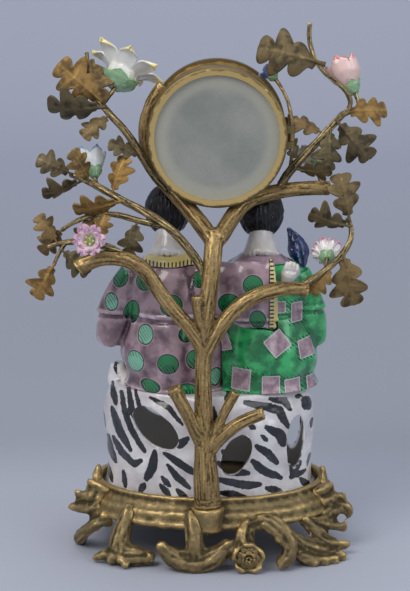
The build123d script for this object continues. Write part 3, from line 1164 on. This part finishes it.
def make_balance_spring():
    """The fine coiled spring between the rear plate and the balance."""
    low = REAR_PLATE_REAR - (BALANCE_STANDOFF - BALANCE_DEPTH) / 2 - BALANCE_SPRING_HEIGHT / 2
    return spiral_strip(
        ARBOR_RADIUS + SEAT_GAP, BALANCE_SPRING_RADIUS, BALANCE_SPRING_TURNS, BALANCE_SPRING_STRIP, low,
        BALANCE_SPRING_HEIGHT, BALANCE_U, BALANCE_V,
    )


def make_cock():
    """The bridge that carries the rear pivot of the balance."""
    low = REAR_PLATE_REAR - BALANCE_STANDOFF - BALANCE_DEPTH
    frame = clock_plane(low, BALANCE_U, BALANCE_V)
    arm = Pos(-COCK_FOOT_REACH / 2, 0) * SlotOverall(COCK_FOOT_REACH + COCK_WIDTH, COCK_WIDTH)
    bridge = extrude(frame * arm, COCK_THICKNESS)
    foot = rod(COCK_FOOT_RADIUS, low - COCK_THICKNESS / 2, REAR_PLATE_REAR, BALANCE_U - COCK_FOOT_REACH,
        BALANCE_V)
    hole = rod(PIVOT_RADIUS + RUNNING_GAP, low - OVERRUN, REAR_PLATE_REAR, BALANCE_U, BALANCE_V)
    return bridge.fuse(foot).cut(hole)


CANNON_REAR = FRONT_PLATE_FRONT + MOTION_GAP
HOUR_WHEEL_REAR = CANNON_REAR + WHEEL_THICKNESS + MOTION_GAP
HOUR_HAND_REAR = DIAL_REAR + DIAL_THICKNESS + DIAL_CROWN + MOTION_GAP
MINUTE_HAND_REAR = HOUR_HAND_REAR + HAND_SPACING


def make_cannon_pinion():
    leaves = toothed(
        CANNON_LEAVES, CANNON_MODULE, CANNON_REAR, WHEEL_THICKNESS, 0, 0,
            mesh_phase(CANNON_LEAVES, MINUTE_WHEEL_ANGLE),
    )
    pipe = rod(CANNON_PIPE_RADIUS, CANNON_REAR, MINUTE_HAND_REAR)
    return leaves.fuse(pipe).cut(rod(ARBOR_RADIUS, FRONT_PLATE_BACK, MINUTE_HAND_REAR + OVERRUN))


def make_minute_wheel():
    back_to_centre = MINUTE_WHEEL_ANGLE + 180
    wheel = toothed(MINUTE_TEETH, CANNON_MODULE, CANNON_REAR, WHEEL_THICKNESS, *MINUTE_WHEEL_AT,
        back_to_centre)
    pinion = toothed(
        MINUTE_LEAVES, HOUR_MODULE, CANNON_REAR, 2 * WHEEL_THICKNESS + MOTION_GAP, *MINUTE_WHEEL_AT,
        mesh_phase(MINUTE_LEAVES, back_to_centre),
    )
    return wheel.fuse(pinion).cut(rod(ARBOR_RADIUS + RUNNING_GAP, FRONT_PLATE_BACK, DIAL_REAR + OVERRUN,
        *MINUTE_WHEEL_AT))


def make_minute_post():
    """The fixed post on the front plate that the minute wheel turns on."""
    return rod(ARBOR_RADIUS, FRONT_PLATE_FRONT, DIAL_REAR - MOTION_GAP, *MINUTE_WHEEL_AT)


def make_hour_wheel():
    wheel = toothed(HOUR_TEETH, HOUR_MODULE, HOUR_WHEEL_REAR, WHEEL_THICKNESS, 0, 0, MINUTE_WHEEL_ANGLE)
    pipe = rod(CANNON_PIPE_RADIUS + RUNNING_GAP + HOUR_PIPE_WALL, HOUR_WHEEL_REAR, HOUR_HAND_REAR)
    return wheel.fuse(pipe).cut(rod(CANNON_PIPE_RADIUS + RUNNING_GAP, FRONT_PLATE_BACK, MINUTE_HAND_REAR))


def make_dial():
    """A gently crowned enamel disc on three feet, with holes for the hands and the key."""
    low, high = DIAL_REAR, DIAL_REAR + DIAL_THICKNESS
    disc = rod(DIAL_RADIUS, low, high)
    crown_radius = (DIAL_RADIUS**2 + DIAL_CROWN**2) / (2 * DIAL_CROWN)
    dome = Pos(DRUM_X, high + DIAL_CROWN - crown_radius, DRUM_HEIGHT) * Sphere(crown_radius)
    crown = solid_of(rod(DIAL_RADIUS, high, high + 2 * DIAL_CROWN).intersect(dome))
    disc = disc.fuse(crown)
    for k in range(DIAL_FOOT_COUNT):
        at = polar(DIAL_FOOT_CIRCLE_RADIUS, 90 + 360 * k / DIAL_FOOT_COUNT)
        disc = disc.fuse(rod(DIAL_FOOT_RADIUS, FRONT_PLATE_FRONT, low + DIAL_THICKNESS / 2, *at))
    return carved(
        disc,
        rod(DIAL_CENTRE_HOLE, low - OVERRUN, high + OVERRUN),
        rod(WINDING_HOLE, low - OVERRUN, high + OVERRUN, *BARREL_AT),
    )


def make_hand(rear, length, angle, bore):
    """A pierced leaf-shaped hand on its boss."""
    frame = Plane(
        origin=(DRUM_X, rear + HAND_THICKNESS, DRUM_HEIGHT),
        x_dir=(cos(radians(angle)), 0, sin(radians(angle))), z_dir=(0, -1, 0),
    )
    half = HAND_WIDTH / 2
    blade = make_face(Polyline(
        (0, -half / 2), (length * 0.55, -half / 2), (length * 0.7, -half), (length, 0),
        (length * 0.7, half), (length * 0.55, half / 2), (0, half / 2), close=True,
    ))
    face = frame * ((blade + Circle(HAND_BOSS_RADIUS)) - Circle(bore))
    return extrude(face, HAND_THICKNESS)


def spiral_strip(inner, outer, turns, strip, y, height, u, v):
    """A flat coiled spring, as tall as given, wound round a place beside the clock's centre."""
    steps = turns * SPIRAL_STEPS
    near = []
    far = []
    for k in range(steps + 1):
        radius = inner + (outer - strip - inner) * k / steps
        near.append(polar(radius, 360 * k / SPIRAL_STEPS))
        far.append(polar(radius + strip, 360 * k / SPIRAL_STEPS))
    outline = clock_plane(y + height, u, v) * make_face(Polyline(*near, *reversed(far), close=True))
    return extrude(outline, height)


# The finished pieces, each seated on the ones it is carried by.
def save(name, *shapes):
    solids = [solid for shape in shapes for solid in shape.solids()]
    export_step(Compound(solids) if len(solids) > 1 else solids[0], f"parts/{name}.step")


def build_base():
    platform = make_base_platform()
    shell_feet = [make_shell_foot(SHELL_FOOT_X, side) for side in (-1, 1)]
    corner_feet = [make_corner_foot(angle, TOE_TURN) for angle in (CORNER_ANGLE, 180 + CORNER_ANGLE)]
    corner_feet.append(mirror(corner_feet[0], about=Plane.YZ))
    leaf_foot = make_lobes(LEAF_FOOT_LOBES)
    for lobe in leaf_foot[1:]:
        leaf_foot[0] = leaf_foot[0].fuse(lobe)
    corner_feet.append(leaf_foot[0])
    end_lobes = make_lobes(LEFT_END_LOBES) + make_lobes(RIGHT_END_LOBES)
    rose, rose_stem, c_scroll = make_rear_rose()
    save("base_platform", platform)
    save("shell_feet", *[solid_of(carved(foot, platform, make_nut_socket())) for foot in shell_feet])
    save("corner_feet", *[solid_of(foot.cut(platform)) for foot in corner_feet])
    save("end_scrolls", *[solid_of(lobe.cut(platform)) for lobe in end_lobes])
    save("rear_rose", rose, solid_of(rose_stem.cut(platform)),
        solid_of(carved(c_scroll, platform, corner_feet[-1])))
    return platform


def build_figures():
    rock = make_rock()
    drape = make_drape()
    left_robe = make_robe(LEFT_ROBE_X, LEFT_ROBE_LEAN, LEFT_SLEEVE_REACH).fuse(drape).cut(rock)
    right_robe = carved(make_robe(RIGHT_ROBE_X, RIGHT_ROBE_LEAN, RIGHT_SLEEVE_REACH), rock, left_robe)
    left_robe = solid_of(left_robe)
    right_robe = solid_of(right_robe)
    heads = [
        make_head(LEFT_ROBE_X, LEFT_ROBE_LEAN, LEFT_HEAD_RISE),
            make_head(RIGHT_ROBE_X, RIGHT_ROBE_LEAN, RIGHT_HEAD_RISE),
    ]
    hair = [
        make_hair(LEFT_ROBE_X, LEFT_ROBE_LEAN, LEFT_HEAD_RISE, heads[0]),
        make_hair(RIGHT_ROBE_X, RIGHT_ROBE_LEAN, RIGHT_HEAD_RISE, heads[1]),
    ]
    lotus = limb(robe_points(LOTUS_SHARES, RIGHT_ROBE_X, 1), LOTUS_RADIUS, LOTUS_RADIUS_SHARES)
    hands = [solid_of(carved(hand, left_robe, right_robe)) for hand in make_hands()]
    save("rock", rock)
    save("left_robe", left_robe)
    save("right_robe", right_robe)
    save("heads", *[solid_of(carved(head, left_robe, right_robe)) for head in heads])
    save("hair_caps", *hair)
    save("hands", *hands)
    save("lotus_bud", solid_of(carved(lotus, right_robe, *hands)))


def build_tree(case_blank, platform):
    tree = make_tree(case_blank, platform)
    blank = make_leaf_blank()
    save("tree_trunk", tree)
    for name, limbs, leaves in (
        ("left_upper", LEFT_UPPER_LIMBS, LEFT_UPPER_LEAVES),
        ("left_middle", LEFT_MIDDLE_LIMBS, LEFT_MIDDLE_LEAVES),
        ("left_lower", LEFT_LOWER_LIMBS, LEFT_LOWER_LEAVES),
        ("right_upper", RIGHT_UPPER_LIMBS, RIGHT_UPPER_LEAVES),
        ("right_lower", RIGHT_LOWER_LIMBS, RIGHT_LOWER_LEAVES),
    ):
        branch = make_branch(limbs, tree)
        save(f"{name}_branch", branch)
        save(f"{name}_leaves", *[leaf.cut(tree) for leaf in make_leaves(blank, limbs, leaves, branch)])
    for name, limbs, index, mouth, height, petals, close_share in (
        ("lily_flower", LEFT_UPPER_LIMBS, 1, LILY_RADIUS, LILY_HEIGHT, LILY_PETALS, 0.5),
        ("bell_flower", LEFT_MIDDLE_LIMBS, 2, BELL_RADIUS, BELL_HEIGHT, BELL_PETALS, 1),
        ("pink_flower", LEFT_LOWER_LIMBS, 2, PINK_RADIUS, PINK_HEIGHT, PINK_PETALS, 0.7),
        ("rose_bud", RIGHT_UPPER_LIMBS, 2, BUD_RADIUS, BUD_HEIGHT, BUD_PETALS, 1.4),
        ("blue_flower", RIGHT_UPPER_LIMBS, 3, BLUE_RADIUS, BLUE_HEIGHT, BLUE_PETALS, 0.7),
        ("white_flower", STUB_SHARES, 4, WHITE_RADIUS, WHITE_HEIGHT, WHITE_PETALS, 0.7),
        ("daisy_flower", RIGHT_LOWER_LIMBS, 1, DAISY_RADIUS, DAISY_HEIGHT, DAISY_PETALS, 0.6),
    ):
        save(name, make_flower(limbs, index, mouth, height, petals, close_share))


def build_case():
    save("drum_case", make_case())
    save("rear_bezel", make_bezel(CASE_REAR, -1, REAR_BEZEL_RADIUS, REAR_BEZEL_DEPTH))
    save("front_bezel", make_bezel(CASE_FRONT, 1, FRONT_BEZEL_RADIUS, FRONT_BEZEL_DEPTH))
    save("rear_glass", make_glass(CASE_REAR, -1, REAR_BEZEL_DEPTH))
    save("front_glass", make_glass(CASE_FRONT, 1, FRONT_BEZEL_DEPTH))
    save("hinge_pins", *[rod_vertical(y, HINGE_PIN_RADIUS) for y in (CASE_REAR, CASE_FRONT)])
    save("case_screws", *make_case_screws())


def build_movement():
    front, rear = make_plates()
    save("front_plate", front.fuse(make_minute_post()))
    save("rear_plate", rear)
    save("pillars", *make_pillars())
    save("going_barrel", make_going_barrel())
    save("mainspring", make_mainspring())
    save("winding_arbor", make_winding_arbor())
    save("click", make_click())
    save("second_wheel", make_second_wheel())
    save("centre_wheel", make_centre_wheel())
    save("third_wheel", make_third_wheel())
    save("escape_wheel", make_escape_wheel())
    save("pallets", make_pallets())
    save("balance_wheel", make_balance())
    save("balance_spring", make_balance_spring())
    save("balance_cock", make_cock())
    save("cannon_pinion", make_cannon_pinion())
    save("minute_wheel", make_minute_wheel())
    save("hour_wheel", make_hour_wheel())
    save("dial", make_dial())
    save("hour_hand", make_hand(HOUR_HAND_REAR, HOUR_HAND_LENGTH, HOUR_HAND_ANGLE,
        CANNON_PIPE_RADIUS + RUNNING_GAP))
    save("minute_hand", make_hand(MINUTE_HAND_REAR, MINUTE_HAND_LENGTH, MINUTE_HAND_ANGLE, ARBOR_RADIUS))


os.makedirs("parts", exist_ok=True)
platform = build_base()
save("rock_bolt", make_rock_bolt())
save("base_nuts", *make_nuts())
build_figures()
build_tree(rod(CASE_RADIUS, CASE_REAR, CASE_FRONT), platform)
build_case()
build_movement()
